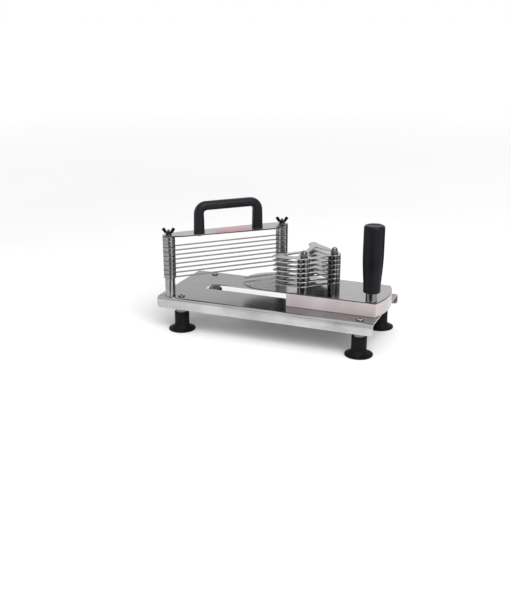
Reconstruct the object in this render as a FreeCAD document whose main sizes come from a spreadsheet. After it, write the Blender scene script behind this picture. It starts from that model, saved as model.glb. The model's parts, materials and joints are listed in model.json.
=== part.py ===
"""Manual tomato slicer: a fixed blade frame on a folded steel base and a pusher carriage.

Units are millimetres. +Z is up, X runs along the base, the carriage pushes towards -X, and the
hand grip is at +X, -Y. The origin is on the floor, at the middle of the whole object's box.
"""
import FreeCAD
import Part
import Sketcher

import math
import os
import re

from FreeCAD import Placement, Rotation, Vector

doc = FreeCAD.newDocument("tomato_slicer")
sheet = doc.addObject("Spreadsheet::Sheet", "Sizes")

# ---------------------------------------------------------------- driving dimensions
SIZES = {
    # folded base
    "base_length": 430, "base_width": 194, "base_centre_x": -3, "plate_top": 67.5,
    "base_sheet": 2, "flange_drop": 21.6, "bend_radius": 7, "flange_corner": 6,
    "slot_left": -152.8, "slot_length": 343, "slot_width": 32,
    # suction feet
    "foot_left_x": -174.6, "foot_right_x": 183.4, "foot_offset_y": 78,
    "foot_height": 37, "foot_body_radius": 14.2, "foot_cup_radius": 26, "foot_cup_height": 13,
    "foot_lip": 2.2, "foot_cup_hollow": 3.4, "foot_seal_width": 5, "foot_socket_depth": 4,
    "foot_socket_radius": 11.6, "foot_bore_radius": 4.2, "foot_bore_top_gap": 20,
    "collar_radius": 11.2, "foot_screw_radius": 2.9, "foot_screw_head_radius": 7,
    "foot_screw_head_height": 3.6, "foot_screw_length": 42, "insert_radius": 4.2,
    "insert_height": 14, "screw_hole_radius": 3.1,
    # posts and blades
    "post_front_x": -195.2, "post_rear_x": -27.7, "post_offset_y": 83.75, "blade_angle": 45,
    "blade_lowest": 104.4, "blade_pitch": 8.9, "blade_thickness": 0.7, "blade_width": 8,
    "blade_eye_radius": 10, "post_tube_radius": 9.9, "ring_radius": 11.9, "rod_radius": 3,
    "rod_hole_radius": 3.2, "rod_bottom": 56, "rod_top": 199.5,
    # top plate, label and bow handle
    "top_plate_bottom": 187, "top_plate_thickness": 2.5, "top_plate_far": 15,
    "top_plate_near_front": 18.5, "top_plate_near_rear": 31, "top_plate_end_radius": 11.5,
    "top_plate_taper": 24, "top_plate_corner": 16,
    "label_length": 68, "label_width": 14, "label_thickness": 0.25, "label_offset": -12.5,
    "label_shift": 8, "handle_half_span": 60.5, "handle_shift": 1, "handle_offset": -7.5,
    "handle_height": 51, "handle_bend": 13,
    "handle_half_depth": 9.8, "handle_half_thickness": 9.4, "handle_screw_radius": 2.6,
    "handle_screw_head_radius": 5.5, "handle_screw_head_height": 3, "handle_screw_depth": 16,
    # nuts and washers
    "washer_radius": 6.2, "washer_thickness": 1.2, "nut_radius": 5.8, "nut_height": 5.2,
    "wing_hub_radius": 5.4, "wing_hub_height": 4, "wing_bore_radius": 3.05, "wing_gap": 0.1,
    "wing_thickness": 3.4, "wing_inner": 3.6, "wing_foot": 6.6, "wing_clear": 1,
    "wing_outer": 13.4, "wing_outer_height": 10.4, "wing_tip": 9, "wing_tip_height": 13.8,
    "wing_root_height": 5, "wing_turn": 22,
    # carriage
    "carriage_half_width": 57.5, "tongue_centre_x": -15.5, "carriage_end_x": 218,
    "carriage_end_radius": 150, "block_left": 34.2, "slide_gap": 0.3, "block_height": 24.8,
    "carriage_plate_thickness": 2, "block_inset": 1.5, "key_left": 36.5, "key_length": 153.4,
    "key_side_gap": 0.3, "key_below_plate": 0.6, "strip_half_width": 26, "strip_thickness": 3,
    "strip_screw_radius": 2.4, "strip_screw_head_radius": 4.6, "strip_screw_head_height": 2.8,
    "strip_screw_depth": 18, "strip_screw_span": 110,
    # pusher
    "pusher_front_x": 64.5, "pusher_front_y": -46.5, "pusher_step": 44.8,
    "pusher_plate_thickness": 2, "pusher_boss_radius": 12.2, "pusher_bolt_radius": 4,
    "pusher_hole_radius": 4.2, "pusher_ring_radius": 11.9, "pusher_fillet": 3.5,
    "cap_flange_radius": 7.4, "cap_flange_thickness": 1.3,
    "cap_hex_radius": 6.9, "cap_hex_height": 6, "cap_dome_radius": 5.6,
    "bolt_head_radius": 6.6, "bolt_head_height": 5, "bolt_pocket_radius": 7.5,
    # hand grip
    "grip_x": 194.6, "grip_y": -46.5, "grip_bottom": 112, "grip_height": 123.6,
    "grip_radius": 18.9, "grip_waist_radius": 18.6, "grip_foot_radius": 15.7,
    "grip_rim_radius": 14, "grip_edge": 4, "grip_rim_height": 2, "grip_foot_height": 9,
    "grip_taper_height": 55,
    "spindle_radius": 5, "spindle_top_gap": 22, "ferrule_radius": 10.6,
}

# Outline of one pusher plate, seen from above: two fingers that point at the blades.
PUSHER_OUTLINE = {
    "tip_front": (10, -61), "heel_front": (65, -61), "bar_right": (116.8, -9),
    "arm_right": (117.5, 9.5), "arm_back": (56.5, 57.5), "finger_back": (50, 66),
    "finger_tip": (42, 61), "finger_inner": (41.5, 47), "finger_root": (50.5, 33),
    "notch": (52.5, -1.5), "tip_inner": (8, -46), "tip_left": (6, -55),
}
PUSHER_FRONT_WINDOW = {
    "window_apex": (24.5, -47.5), "window_heel": (50.5, -47.5), "window_top": (50.5, -15.5),
}
PUSHER_REAR_WINDOW = {
    "gap_back": (61, 33), "gap_right": (97, 11.5), "gap_bar_right": (101.5, -16),
    "gap_bar_left": (77.5, -40), "gap_left": (61, -31),
}

# Where the feet, the posts and the pusher bolts stand.
FEET = {
    "front_left": ("foot_left_x", "-foot_offset_y"),
    "front_right": ("foot_right_x", "-foot_offset_y"),
    "rear_left": ("foot_left_x", "foot_offset_y"),
    "rear_right": ("foot_right_x", "foot_offset_y"),
}
POSTS = {
    "front": ("post_front_x", "-post_offset_y"),
    "rear": ("post_rear_x", "post_offset_y"),
}
BOLTS = {
    "front": ("pusher_front_x", "pusher_front_y"),
    "rear": ("pusher_rear_x", "pusher_rear_y"),
}
BLADE_COUNT = 8
PUSHER_COUNT = BLADE_COUNT - 1

# Sizes that follow from the driving ones.
for placed in ("slot_left", "foot_left_x", "foot_right_x", "post_front_x", "post_rear_x"):
    SIZES[placed + "_on_base"] = SIZES[placed] - SIZES["base_centre_x"]
SIZES.update({
    "base_half_width": SIZES["base_width"] / 2,
    "base_inner_half": SIZES["base_width"] / 2 - SIZES["base_sheet"],
    "base_underside": SIZES["plate_top"] - SIZES["base_sheet"],
    "flange_bottom": SIZES["plate_top"] - SIZES["flange_drop"],
    "slot_right_on_base": SIZES["slot_left_on_base"] + SIZES["slot_length"],
    "slot_half_width": SIZES["slot_width"] / 2,
    "foot_seal_inner": SIZES["foot_cup_radius"] - SIZES["foot_seal_width"],
    "foot_socket_floor": SIZES["foot_height"] - SIZES["foot_socket_depth"],
    "foot_bore_floor": SIZES["foot_height"] - SIZES["foot_bore_top_gap"],
    "carriage_top": (SIZES["plate_top"] + SIZES["slide_gap"] + SIZES["block_height"]
                     + SIZES["carriage_plate_thickness"]),
    "top_plate_top": SIZES["top_plate_bottom"] + SIZES["top_plate_thickness"],
    "post_middle_x": (SIZES["post_front_x"] + SIZES["post_rear_x"]) / 2,
    "post_half_span": math.hypot(SIZES["post_rear_x"] - SIZES["post_front_x"],
                                 2 * SIZES["post_offset_y"]) / 2,
    "pusher_rear_x": SIZES["pusher_front_x"] + SIZES["pusher_step"],
    "pusher_rear_y": SIZES["pusher_front_y"] + SIZES["pusher_step"],
    "pusher_lowest": (SIZES["blade_lowest"]
                      + (SIZES["blade_pitch"] - SIZES["pusher_plate_thickness"]) / 2),
    "strip_top": SIZES["plate_top"] - SIZES["base_sheet"] - SIZES["key_below_plate"],
    "key_middle_x": SIZES["key_left"] + SIZES["key_length"] / 2,
    "grip_shoulder": SIZES["grip_height"] - SIZES["grip_edge"],
    "grip_top_radius": SIZES["grip_radius"] - SIZES["grip_edge"],
    "spindle_bore_top": SIZES["grip_height"] - SIZES["spindle_top_gap"],
})
SIZES.update({
    "blade_gap": SIZES["blade_pitch"] - SIZES["blade_thickness"],
    "pusher_gap": SIZES["blade_pitch"] - SIZES["pusher_plate_thickness"],
    "pusher_top": (SIZES["pusher_lowest"] + (PUSHER_COUNT - 1) * SIZES["blade_pitch"]
                   + SIZES["pusher_plate_thickness"]),
    "blade_top": (SIZES["blade_lowest"] + (BLADE_COUNT - 1) * SIZES["blade_pitch"]
                  + SIZES["blade_thickness"] / 2),
    "strip_bottom": SIZES["strip_top"] - SIZES["strip_thickness"],
    "key_height": SIZES["plate_top"] + SIZES["slide_gap"] - SIZES["strip_top"],
    "handle_front_leg": SIZES["handle_shift"] - SIZES["handle_half_span"],
    "handle_rear_leg": SIZES["handle_shift"] + SIZES["handle_half_span"],
    "handle_x": SIZES["post_middle_x"] + math.sqrt(0.5) * (
        SIZES["handle_shift"] - SIZES["handle_offset"]),
    "handle_y": math.sqrt(0.5) * (SIZES["handle_shift"] + SIZES["handle_offset"]),
    "taper_start": SIZES["post_half_span"] - SIZES["top_plate_taper"],
    "top_plate_tip": SIZES["post_half_span"] + SIZES["top_plate_end_radius"],
})


def fill_sheet():
    """Write every size into the sheet as a plain number with an alias."""
    for outline in (PUSHER_OUTLINE, PUSHER_FRONT_WINDOW, PUSHER_REAR_WINDOW):
        for corner, (along, across) in outline.items():
            SIZES[corner + "_along"] = along
            SIZES[corner + "_across"] = across
    for row, (alias, value) in enumerate(SIZES.items(), start=1):
        sheet.set("A%d" % row, alias)
        sheet.set("B%d" % row, str(value))
        sheet.setAlias("B%d" % row, alias)
    doc.recompute()


fill_sheet()
parts = []


# ---------------------------------------------------------------- helpers
def cells(expression):
    """Turn the words of an expression into cells of the sheet."""
    return re.sub(r"[a-z][a-z_]+", lambda word: "Sizes." + word.group(0), expression)


def bind(obj, **properties):
    """Bind properties to expressions over the sheet; Base_x stands for Placement.Base.x."""
    for name, expression in properties.items():
        path = name.replace("Base_", "Placement.Base.")
        obj.setExpression(path, cells(str(expression)))
    return obj


def place(obj, at, turn=None):
    """Bind an object's position, and its turn about +Z when one is given."""
    if turn is not None:
        obj.Placement = Placement(Vector(), Rotation(Vector(0, 0, 1), 1))
        obj.setExpression("Placement.Rotation.Angle", cells(turn))
    return bind(obj, Base_x=at[0], Base_y=at[1], Base_z=at[2])


def part(obj, node):
    """Keep an object as a sub-part; its label names its node."""
    obj.Label = node
    parts.append(obj)
    return obj


def primitive(kind, name, at=("0", "0", "0"), **properties):
    return place(bind(doc.addObject("Part::" + kind, name), **properties), at)


def cylinder(name, radius, height, at=("0", "0", "0")):
    return primitive("Cylinder", name, at, Radius=radius, Height=height)


def box(name, length, width, height, at):
    return primitive("Box", name, at, Length=length, Width=width, Height=height)


def cut(name, base, tool):
    result = doc.addObject("Part::Cut", name)
    result.Base = base
    result.Tool = tool
    return result


def common(name, first, second):
    result = doc.addObject("Part::Common", name)
    result.Base = first
    result.Tool = second
    return result


def fuse(name, *shapes):
    result = doc.addObject("Part::MultiFuse", name)
    result.Shapes = list(shapes)
    return result


def group(name, *members):
    """Separate solids that share one node."""
    result = doc.addObject("Part::Compound", name)
    result.Links = list(members)
    return result


def ring(name, outer, inner, height, at):
    """A washer, collar or tube standing on a point."""
    wall = cylinder(name + "_wall", outer, height)
    hole = cylinder(name + "_hole", inner, "(%s) * 3" % height, ("0", "0", "-(%s)" % height))
    return place(cut(name, wall, hole), at)


def sketch_on(body, plane, name):
    """A sketch on one of the body's own origin planes."""
    sketch = body.newObject("Sketcher::SketchObject", name)
    face = [item for item in body.Origin.OriginFeatures if item.Role == plane][0]
    sketch.AttachmentSupport = [(face, "")]
    sketch.MapMode = "FlatFace"
    return sketch


def number(expression):
    """The value of a corner coordinate: an alias, a signed alias or a plain number."""
    sign = -1 if expression.startswith("-") else 1
    word = expression.lstrip("-")
    return sign * float(SIZES.get(word, 0) if word[0].isalpha() else word)


def fix_point(sketch, geometry, end, corner):
    """Tie one sketch point to the sheet."""
    for kind, expression in zip(("DistanceX", "DistanceY"), corner):
        value = number(expression)
        index = sketch.addConstraint(Sketcher.Constraint(kind, -1, 1, geometry, end, value))
        if any(letter.isalpha() for letter in expression):
            sketch.setExpression("Constraints[%d]" % index, cells(expression))


def polygon(sketch, corners):
    """A closed polygon whose corners are pairs of aliases."""
    first = sketch.GeometryCount
    points = [Vector(number(x), number(y), 0) for x, y in corners]
    for start, end in zip(points, points[1:] + points[:1]):
        sketch.addGeometry(Part.LineSegment(start, end), False)
    count = len(corners)
    for index in range(count):
        following = first + (index + 1) % count
        sketch.addConstraint(Sketcher.Constraint("Coincident", first + index, 2, following, 1))
    for index, corner in enumerate(corners):
        fix_point(sketch, first + index, 1, corner)


def circle(sketch, centre, radius):
    """A circle whose centre and radius are aliases."""
    middle = Vector(number(centre[0]), number(centre[1]), 0)
    shape = Part.Circle(middle, Vector(0, 0, 1), number(radius))
    index = sketch.addGeometry(shape, False)
    fix_point(sketch, index, 3, centre)
    constraint = sketch.addConstraint(Sketcher.Constraint("Radius", index, number(radius)))
    sketch.setExpression("Constraints[%d]" % constraint, cells(radius))


def pad(body, sketch, length, name, midplane=False):
    feature = body.newObject("PartDesign::Pad", name)
    feature.Profile = sketch
    feature.Midplane = midplane
    feature.setExpression("Length", cells(length))
    doc.recompute()
    return feature


def pocket_through(body, sketch, name):
    """Cut a sketch right through, both ways."""
    feature = body.newObject("PartDesign::Pocket", name)
    feature.Profile = sketch
    feature.Type = "ThroughAll"
    feature.Midplane = True
    doc.recompute()
    return feature


def revolve(body, sketch, name):
    feature = body.newObject("PartDesign::Revolution", name)
    feature.Profile = sketch
    feature.ReferenceAxis = (sketch, ["V_Axis"])
    feature.Angle = 360
    doc.recompute()
    return feature


def fillet(body, base, radius, name, wanted):
    """Round the edges of a feature that a test picks."""
    names = ["Edge%d" % number for number, edge in enumerate(base.Shape.Edges, start=1)
             if wanted(edge)]
    feature = body.newObject("PartDesign::Fillet", name)
    feature.Base = (base, names)
    feature.setExpression("Radius", cells(radius))
    doc.recompute()
    return feature


def is_upright(edge):
    """True for a straight edge along Z."""
    if not isinstance(edge.Curve, Part.Line):
        return False
    return abs(edge.Curve.Direction.z) > 0.999


def new_body(node):
    return part(doc.addObject("PartDesign::Body", node), node)


# ---------------------------------------------------------------- folded base
def make_base_plate():
    """One sheet with its front and rear sides folded down; the ends are open."""
    body = new_body("base_plate")
    profile = sketch_on(body, "YZ_Plane", "base_profile")
    polygon(profile, [
        ("-base_half_width", "flange_bottom"), ("-base_inner_half", "flange_bottom"),
        ("-base_inner_half", "base_underside"), ("base_inner_half", "base_underside"),
        ("base_inner_half", "flange_bottom"), ("base_half_width", "flange_bottom"),
        ("base_half_width", "plate_top"), ("-base_half_width", "plate_top")])
    sheet_metal = pad(body, profile, "base_length", "sheet_metal", midplane=True)
    outer = fillet(body, sheet_metal, "bend_radius", "outer_bends",
                   lambda edge: runs_at(edge, SIZES["base_half_width"], SIZES["plate_top"]))
    inner = fillet(body, outer, "bend_radius - base_sheet", "inner_bends",
                   lambda edge: runs_at(edge, SIZES["base_inner_half"], SIZES["base_underside"]))
    fillet(body, inner, "flange_corner", "flange_corners", is_flange_corner)
    slot = sketch_on(body, "XY_Plane", "slot_outline")
    polygon(slot, [
        ("slot_left_on_base", "-slot_half_width"), ("slot_right_on_base", "-slot_half_width"),
        ("slot_right_on_base", "slot_half_width"), ("slot_left_on_base", "slot_half_width")])
    pocket_through(body, slot, "slide_slot")
    holes = sketch_on(body, "XY_Plane", "base_holes")
    for x, y in FEET.values():
        circle(holes, (x + "_on_base", y), "screw_hole_radius")
    for x, y in POSTS.values():
        circle(holes, (x + "_on_base", y), "rod_hole_radius")
    pocket_through(body, holes, "fastener_holes")
    place(body, ("base_centre_x", "0", "0"))


def runs_at(edge, across, height):
    """True for a straight edge along X at plus or minus a width, at a height."""
    if not isinstance(edge.Curve, Part.Line) or abs(edge.Curve.Direction.x) < 0.999:
        return False
    middle = edge.CenterOfMass
    return math.isclose(abs(middle.y), across) and math.isclose(middle.z, height)


def is_flange_corner(edge):
    """True for the short edge across the sheet at each lower corner of a flange."""
    if not isinstance(edge.Curve, Part.Line) or abs(edge.Curve.Direction.y) < 0.999:
        return False
    middle = edge.CenterOfMass
    return math.isclose(middle.z, SIZES["flange_bottom"])


# ---------------------------------------------------------------- suction feet
def make_foot(corner, x, y):
    """A rubber foot: a cylinder that flares into a shallow suction cup."""
    body = new_body("suction_foot_" + corner)
    section = sketch_on(body, "XZ_Plane", "foot_section_" + corner)
    polygon(section, [
        ("0", "foot_cup_hollow"), ("foot_seal_inner", "0"), ("foot_cup_radius", "0"),
        ("foot_cup_radius", "foot_lip"), ("foot_body_radius", "foot_cup_height"),
        ("foot_body_radius", "foot_height"), ("foot_socket_radius", "foot_height"),
        ("foot_socket_radius", "foot_socket_floor"), ("foot_bore_radius", "foot_socket_floor"),
        ("foot_bore_radius", "foot_bore_floor"), ("0", "foot_bore_floor")])
    revolve(body, section, "foot_turned_" + corner)
    place(body, (x, y, "0"))


def make_foot_hardware():
    """Collars, moulded-in threaded inserts and dome-head screws of the four feet."""
    collars = []
    inserts = []
    screws = []
    for corner, (x, y) in FEET.items():
        collars.append(ring("collar_" + corner, "collar_radius", "screw_hole_radius",
                            "base_underside - foot_socket_floor", (x, y, "foot_socket_floor")))
        inserts.append(ring("insert_" + corner, "insert_radius", "foot_screw_radius",
                            "insert_height", (x, y, "foot_socket_floor - insert_height")))
        screws.append(dome_screw("screw_" + corner, "foot_screw_radius", "foot_screw_length",
                                 "foot_screw_head_radius", "foot_screw_head_height",
                                 (x, y, "plate_top")))
    part(group("collar_group", *collars), "foot_collars")
    part(group("insert_group", *inserts), "foot_inserts")
    part(group("screw_group", *screws), "foot_screws")


def dome_screw(name, shank, length, head, head_height, at):
    """A screw under a low domed head, with its seat at the given point."""
    stem = cylinder(name + "_stem", shank, length, ("0", "0", "-(%s)" % length))
    ball = primitive("Ellipsoid", name + "_ball", Radius1=head_height, Radius2=head,
                     Radius3=head, Angle1="0", Angle2="90")
    return place(fuse(name, stem, ball), at)


# ---------------------------------------------------------------- posts and blades
def make_post(end, x, y):
    """The tube, spacer rings and tie rod at one end of the blades."""
    tube = ring("tube_" + end, "post_tube_radius", "rod_hole_radius",
                "blade_lowest - blade_thickness / 2 - plate_top", (x, y, "plate_top"))
    part(tube, "post_tube_" + end)
    rings = [ring("spacer_%s_%d" % (end, index), "ring_radius", "rod_hole_radius", "blade_gap",
                  (x, y, "blade_lowest + blade_thickness / 2 + blade_pitch * %d" % index))
             for index in range(BLADE_COUNT - 1)]
    part(group("spacers_" + end, *rings), "blade_spacers_" + end)
    top = ring("top_" + end, "ring_radius", "rod_hole_radius", "top_plate_bottom - blade_top",
               (x, y, "blade_top"))
    part(top, "top_spacer_" + end)
    rod = cylinder("rod_" + end, "rod_radius", "rod_top - rod_bottom", (x, y, "rod_bottom"))
    part(rod, "tie_rod_" + end)


def make_blade(index):
    """A thin strip with a round eye over each post."""
    name = "strip_%d" % index
    strip = box(name, "post_half_span * 2", "blade_width", "blade_thickness",
                ("-post_half_span", "-blade_width / 2", "0"))
    eyes = [cylinder("%s_eye_%s" % (name, side), "blade_eye_radius", "blade_thickness",
                     (sign + "post_half_span", "0", "0"))
            for side, sign in (("front", "-"), ("rear", "+"))]
    holes = [cylinder("%s_hole_%s" % (name, side), "rod_hole_radius", "blade_thickness * 3",
                      (sign + "post_half_span", "0", "-blade_thickness"))
             for side, sign in (("front", "-"), ("rear", "+"))]
    blade = cut(name + "_cut", fuse(name + "_fuse", strip, *eyes),
                fuse(name + "_holes", *holes))
    height = "blade_lowest + blade_pitch * %d - blade_thickness / 2" % (BLADE_COUNT - index)
    place(blade, ("post_middle_x", "0", height), turn="blade_angle")
    part(blade, "blade_%d" % index)


def make_rod_hardware():
    """Washers and nuts under the base, and the washers under the wing nuts."""
    ends = list(POSTS.values())
    lower = [ring("rod_washer_%d" % index, "washer_radius", "rod_hole_radius",
                  "washer_thickness", (x, y, "base_underside - washer_thickness"))
             for index, (x, y) in enumerate(ends)]
    nuts = [hex_nut("rod_nut_%d" % index, "nut_radius", "nut_height", "rod_radius",
                    (x, y, "base_underside - washer_thickness - nut_height"))
            for index, (x, y) in enumerate(ends)]
    upper = [ring("wing_washer_%d" % index, "washer_radius", "rod_hole_radius",
                  "washer_thickness", (x, y, "top_plate_top"))
             for index, (x, y) in enumerate(ends)]
    part(group("lower_washers", *lower), "rod_washers")
    part(group("lower_nuts", *nuts), "rod_nuts")
    part(group("upper_washers", *upper), "wing_nut_washers")


def hex_nut(name, radius, height, bore, at):
    """A hexagonal nut; the radius reaches its corners."""
    prism = primitive("Prism", name + "_prism", Circumradius=radius, Height=height)
    prism.Polygon = 6
    hole = cylinder(name + "_bore", bore, "(%s) * 3" % height, ("0", "0", "-(%s)" % height))
    return place(cut(name, prism, hole), at)


# ---------------------------------------------------------------- top plate
def make_top_plate():
    """The plate that ties the posts: it widens to the rear, and its ends taper around them."""
    body = new_body("top_plate")
    outline = sketch_on(body, "XY_Plane", "top_plate_outline")
    polygon(outline, [
        ("-top_plate_tip", "-top_plate_end_radius"), ("-post_half_span", "-top_plate_end_radius"),
        ("-taper_start", "-top_plate_near_front"), ("taper_start", "-top_plate_near_rear"),
        ("post_half_span", "-top_plate_end_radius"), ("top_plate_tip", "-top_plate_end_radius"),
        ("top_plate_tip", "top_plate_end_radius"), ("post_half_span", "top_plate_end_radius"),
        ("taper_start", "top_plate_far"), ("-taper_start", "top_plate_far"),
        ("-post_half_span", "top_plate_end_radius"), ("-top_plate_tip", "top_plate_end_radius")])
    blank = pad(body, outline, "top_plate_thickness", "top_plate_blank")
    ends = fillet(body, blank, "top_plate_end_radius * 0.96", "top_plate_ends",
                  lambda edge: is_upright(edge) and
                  math.isclose(abs(edge.CenterOfMass.x), SIZES["top_plate_tip"]))
    fillet(body, ends, "top_plate_corner", "top_plate_corners",
           lambda edge: is_upright(edge) and
           math.isclose(abs(edge.CenterOfMass.x), SIZES["taper_start"]))
    holes = sketch_on(body, "XY_Plane", "top_plate_holes")
    for side in ("", "-"):
        circle(holes, (side + "post_half_span", "0"), "rod_hole_radius")
    for leg in ("handle_front_leg", "handle_rear_leg"):
        circle(holes, (leg, "handle_offset"), "screw_hole_radius")
    pocket_through(body, holes, "top_plate_drilling")
    place(body, ("post_middle_x", "0", "top_plate_bottom"), turn="blade_angle")


def make_label():
    """A blank label strip on the front half of the top plate."""
    strip = box("label", "label_length", "label_width", "label_thickness",
                ("label_shift - label_length / 2", "label_offset - label_width / 2", "0"))
    whole = group("label_group", strip)
    part(place(whole, ("post_middle_x", "0", "top_plate_top"), turn="blade_angle"),
         "label_strip")


def make_bow_handle():
    """A bow handle: two legs and a bar, one moulding swept along an arched path."""
    body = new_body("bow_handle")
    path = sketch_on(body, "XZ_Plane", "handle_path")
    span = SIZES["handle_half_span"]
    height = SIZES["handle_height"]
    bend = SIZES["handle_bend"]
    corner = math.sqrt(0.5) * bend
    left_arc = Part.Arc(Vector(-span, height - bend, 0),
                        Vector(bend - span - corner, height - bend + corner, 0),
                        Vector(bend - span, height, 0))
    right_arc = Part.Arc(Vector(span - bend, height, 0),
                         Vector(span - bend + corner, height - bend + corner, 0),
                         Vector(span, height - bend, 0))
    path.addGeometry([
        Part.LineSegment(Vector(-span, 0, 0), Vector(-span, height - bend, 0)), left_arc,
        Part.LineSegment(Vector(bend - span, height, 0), Vector(span - bend, height, 0)),
        right_arc, Part.LineSegment(Vector(span, height - bend, 0), Vector(span, 0, 0))], False)
    section = sketch_on(body, "XY_Plane", "handle_section")
    oval = Part.Ellipse(Vector(-span, SIZES["handle_half_depth"], 0),
                        Vector(-span + SIZES["handle_half_thickness"], 0, 0),
                        Vector(-span, 0, 0))
    section.addGeometry(oval, False)
    bow = body.newObject("PartDesign::AdditivePipe", "handle_sweep")
    bow.Profile = section
    bow.Spine = path
    doc.recompute()
    holes = sketch_on(body, "XY_Plane", "handle_holes")
    for side in ("", "-"):
        circle(holes, (side + "handle_half_span", "0"), "handle_screw_radius")
    bores = body.newObject("PartDesign::Pocket", "handle_bores")
    bores.Profile = holes
    bores.Reversed = True
    bores.setExpression("Length", cells("handle_screw_depth"))
    doc.recompute()
    place(body, ("handle_x", "handle_y", "top_plate_top"), turn="blade_angle")


def make_handle_screws():
    """Two screws from under the top plate into the legs of the handle."""
    screws = []
    for side, sign in (("front", "-"), ("rear", "+")):
        stem = cylinder("handle_stem_" + side, "handle_screw_radius",
                        "handle_screw_depth + top_plate_thickness",
                        (sign + "handle_half_span", "0", "0"))
        head = cylinder("handle_head_" + side, "handle_screw_head_radius",
                        "handle_screw_head_height",
                        (sign + "handle_half_span", "0", "-handle_screw_head_height"))
        screws.append(fuse("handle_screw_" + side, stem, head))
    whole = place(group("handle_screw_group", *screws),
                  ("handle_x", "handle_y", "top_plate_bottom"), turn="blade_angle")
    part(whole, "bow_handle_screws")


def make_wing_nut(end, x, y):
    """A nut with two upright wings on the threaded end of a tie rod."""
    body = new_body("wing_nut_" + end)
    hub_outline = sketch_on(body, "XY_Plane", "hub_outline_" + end)
    circle(hub_outline, ("0", "0"), "wing_hub_radius")
    pad(body, hub_outline, "wing_hub_height", "hub_" + end)
    for side in ("-", ""):
        wing = sketch_on(body, "XZ_Plane", "wing_outline_%s%s" % (end, "_left" * bool(side)))
        polygon(wing, [(side + "wing_inner", "wing_clear"), (side + "wing_foot", "wing_clear"),
                       (side + "wing_outer", "wing_outer_height"),
                       (side + "wing_tip", "wing_tip_height"),
                       (side + "wing_inner", "wing_root_height")])
        pad(body, wing, "wing_thickness", "wing_%s%s" % (end, "_left" * bool(side)),
            midplane=True)
    bore = sketch_on(body, "XY_Plane", "bore_outline_" + end)
    circle(bore, ("0", "0"), "wing_bore_radius")
    pocket_through(body, bore, "bore_" + end)
    place(body, (x, y, "top_plate_top + washer_thickness + wing_gap"),
          turn="wing_turn")


# ---------------------------------------------------------------- carriage
def carriage_outline(name, left, inset, height, tongue):
    """A slab with straight sides and a gently bowed right end."""
    slab = box(name + "_slab", "carriage_end_x - (%s)" % left, "carriage_half_width * 2", height,
               (left, "-carriage_half_width", "0"))
    bowed = cylinder(name + "_end", "carriage_end_radius", height,
                     ("carriage_end_x - carriage_end_radius - (%s)" % inset, "0", "0"))
    shapes = [common(name + "_body", slab, bowed)]
    if tongue:
        shapes.append(cylinder(name + "_tongue", "carriage_half_width", height, (left, "0", "0")))
        return fuse(name + "_outline", *shapes)
    return shapes[0]


def make_carriage_plate():
    """The polished plate on the block, with a half-round tongue towards the blades."""
    plate = carriage_outline("plate", "tongue_centre_x", "block_inset",
                             "carriage_plate_thickness", True)
    holes = [cylinder("plate_hole_" + side, "pusher_hole_radius", "carriage_plate_thickness * 3",
                      (x, y, "-carriage_plate_thickness")) for side, (x, y) in BOLTS.items()]
    holes.append(cylinder("plate_hole_grip", "spindle_radius", "carriage_plate_thickness * 3",
                          ("grip_x", "grip_y", "-carriage_plate_thickness")))
    drilled = cut("plate_drilled", plate, fuse("plate_holes", *holes))
    part(place(drilled, ("0", "0", "carriage_top - carriage_plate_thickness")),
         "carriage_plate")


def make_slide_block():
    """The plastic block that slides on the base and carries the plate."""
    block = carriage_outline("block", "block_left", "0", "block_height", False)
    pockets = [cylinder("block_hole_" + side, "bolt_pocket_radius", "block_height * 3",
                        (x, y, "-block_height")) for side, (x, y) in BOLTS.items()]
    pockets.append(cylinder("block_hole_grip", "bolt_pocket_radius", "block_height * 3",
                            ("grip_x", "grip_y", "-block_height")))
    for side, sign in (("left", "-"), ("right", "+")):
        pockets.append(cylinder("block_hole_" + side, "strip_screw_radius",
                                "strip_screw_depth",
                                ("key_middle_x %sstrip_screw_span / 2" % sign, "0", "0")))
    bored = cut("block_bored", block, fuse("block_holes", *pockets))
    part(place(bored, ("0", "0", "plate_top + slide_gap")), "slide_block")


def make_guide():
    """The key that runs in the slot, the strip that holds it down, and their screws."""
    key = box("key", "key_length", "slot_width - key_side_gap * 2", "key_height",
              ("0", "-slot_half_width + key_side_gap", "0"))
    strip = box("strip", "key_length", "strip_half_width * 2", "strip_thickness",
                ("0", "-strip_half_width", "0"))
    levels = (("guide_key", key, "strip_top"), ("retaining_strip", strip, "strip_bottom"))
    for node, solid, level in levels:
        holes = [cylinder("%s_hole_%s" % (node, side), "strip_screw_radius", "key_height * 5",
                          ("key_length / 2 %sstrip_screw_span / 2" % sign, "0", "-key_height * 2"))
                 for side, sign in (("left", "-"), ("right", "+"))]
        drilled = cut(node + "_cut", solid, fuse(node + "_holes", *holes))
        part(place(drilled, ("key_left", "0", level)), node)
    screws = []
    for side, sign in (("left", "-"), ("right", "+")):
        at = ("key_middle_x %sstrip_screw_span / 2" % sign, "0", "strip_bottom")
        stem = cylinder("strip_stem_" + side, "strip_screw_radius",
                        "plate_top + slide_gap + strip_screw_depth - strip_bottom", at)
        head = cylinder("strip_head_" + side, "strip_screw_head_radius",
                        "strip_screw_head_height",
                        (at[0], at[1], "strip_bottom - strip_screw_head_height"))
        screws.append(fuse("strip_screw_" + side, stem, head))
    part(group("strip_screw_group", *screws), "retaining_screws")


# ---------------------------------------------------------------- pusher
def outline_corners(outline):
    return [(corner + "_along", corner + "_across") for corner in outline]


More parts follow.
